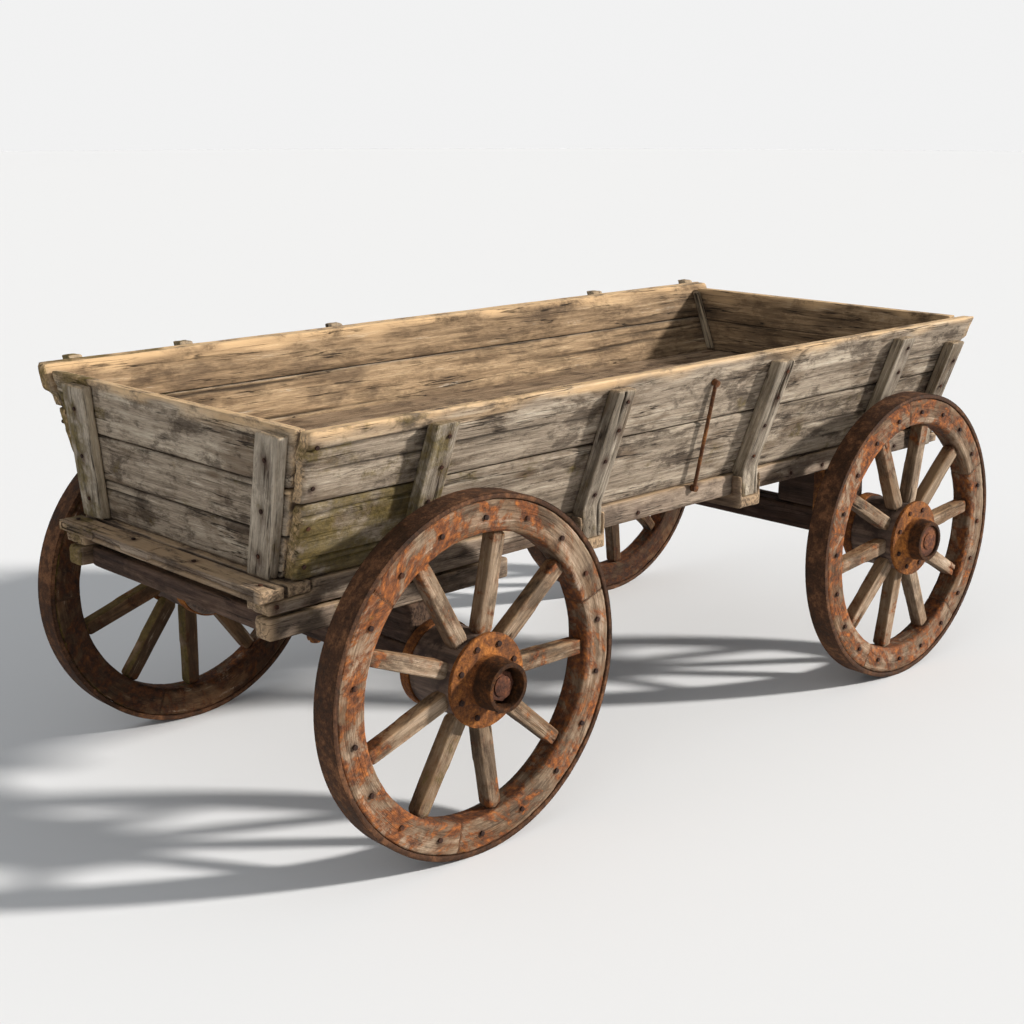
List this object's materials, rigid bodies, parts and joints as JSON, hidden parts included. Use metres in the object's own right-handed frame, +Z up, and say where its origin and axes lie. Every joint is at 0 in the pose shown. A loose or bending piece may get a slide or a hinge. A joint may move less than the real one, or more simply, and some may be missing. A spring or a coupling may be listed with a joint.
{
  "type": "four-wheeled farm wagon",
  "caption": "Weathered wooden farm wagon: splayed plank box, spoked iron-tyred wheels, front axle turning on a king pin, lift-out tailboard.",
  "frame": {"origin": "on the ground, on the centre line, midway between the two axles", "axes": "+X towards the tailboard (the front is -X), +Y towards the right side as one faces the front, +Z up"},
  "size_m": [3.106, 1.66, 1.245],
  "materials": {
    "frame_wood": "weathered, dry",
    "hidden_wood": "dark, weathered",
    "floor_wood": "weathered, dry",
    "side_wood": "weathered grey with moss",
    "stake_wood": "weathered grey with moss",
    "wheel_wood": "weathered, rust stained",
    "strap_iron": "rusted",
    "plate_iron": "rusted",
    "axle_iron": "rusted",
    "tyre_iron": "rusted, worn",
    "hub_iron": "rusted"
  },
  "bodies": {
    "wagon": {"sills": "frame_wood", "cross_bearers": "frame_wood", "end_decks": "frame_wood", "floor_bearers": "hidden_wood", "floor_boards": "floor_wood", "left_upper_board": "side_wood", "left_lower_board": "side_wood", "right_upper_board": "side_wood", "right_lower_boards": "side_wood", "front_boards": "side_wood", "front_battens": "stake_wood", "left_stakes": "stake_wood", "right_stakes": "stake_wood", "tail_cleats": "stake_wood", "side_rod": "strap_iron", "box_nails": "strap_iron", "front_transom": "hidden_wood", "upper_turning_plate": "plate_iron", "king_pin": "plate_iron", "king_pin_nut": "plate_iron", "rear_axle": "hidden_wood", "rear_axle_arms": "axle_iron", "rear_bolster_blocks": "hidden_wood", "rear_axle_nuts": "axle_iron", "rear_axle_clips": "strap_iron"},
    "front_carriage": {"front_axle": "hidden_wood", "front_axle_arms": "axle_iron", "front_axle_nuts": "axle_iron", "front_bolster": "hidden_wood", "hounds": "frame_wood", "hound_crossbars": "hidden_wood", "turning_block": "hidden_wood", "lower_turning_plate": "plate_iron", "front_axle_clips": "strap_iron"},
    "tailboard": {"tailboard_boards": "side_wood", "tailboard_battens": "stake_wood"},
    "wheel_front_left": {"tyre_front_left": "tyre_iron", "felloes_front_left": "wheel_wood", "spokes_front_left": "wheel_wood", "nave_front_left": "wheel_wood", "hub_irons_front_left": "hub_iron", "bolts_front_left": "strap_iron"},
    "wheel_front_right": {"tyre_front_right": "tyre_iron", "felloes_front_right": "wheel_wood", "spokes_front_right": "wheel_wood", "nave_front_right": "wheel_wood", "hub_irons_front_right": "hub_iron", "bolts_front_right": "strap_iron"},
    "wheel_rear_left": {"tyre_rear_left": "tyre_iron", "felloes_rear_left": "wheel_wood", "spokes_rear_left": "wheel_wood", "nave_rear_left": "wheel_wood", "hub_irons_rear_left": "hub_iron", "bolts_rear_left": "strap_iron"},
    "wheel_rear_right": {"tyre_rear_right": "tyre_iron", "felloes_rear_right": "wheel_wood", "spokes_rear_right": "wheel_wood", "nave_rear_right": "wheel_wood", "hub_irons_rear_right": "hub_iron", "bolts_rear_right": "strap_iron"}
  },
  "joints": [
    {"name": "steer", "type": "hinge", "parent": "wagon", "child": "front_carriage", "pos_m": [-1.012, 0, 0.5], "axis": [0, 0, 1], "range_deg": [-10, 10]},
    {"name": "tailboard_lift", "type": "slide", "parent": "wagon", "child": "tailboard", "axis": [0, 0, 1], "range_m": [0, 0.4]},
    {"name": "spin_front_left", "type": "hinge", "parent": "front_carriage", "child": "wheel_front_left", "pos_m": [-1.012, -0.694, 0.5], "axis": [0, 1, 0], "continuous": true},
    {"name": "spin_front_right", "type": "hinge", "parent": "front_carriage", "child": "wheel_front_right", "pos_m": [-1.012, 0.694, 0.5], "axis": [0, 1, 0], "continuous": true},
    {"name": "spin_rear_left", "type": "hinge", "parent": "wagon", "child": "wheel_rear_left", "pos_m": [1.012, -0.694, 0.5], "axis": [0, 1, 0], "continuous": true},
    {"name": "spin_rear_right", "type": "hinge", "parent": "wagon", "child": "wheel_rear_right", "pos_m": [1.012, 0.694, 0.5], "axis": [0, 1, 0], "continuous": true}
  ]
}
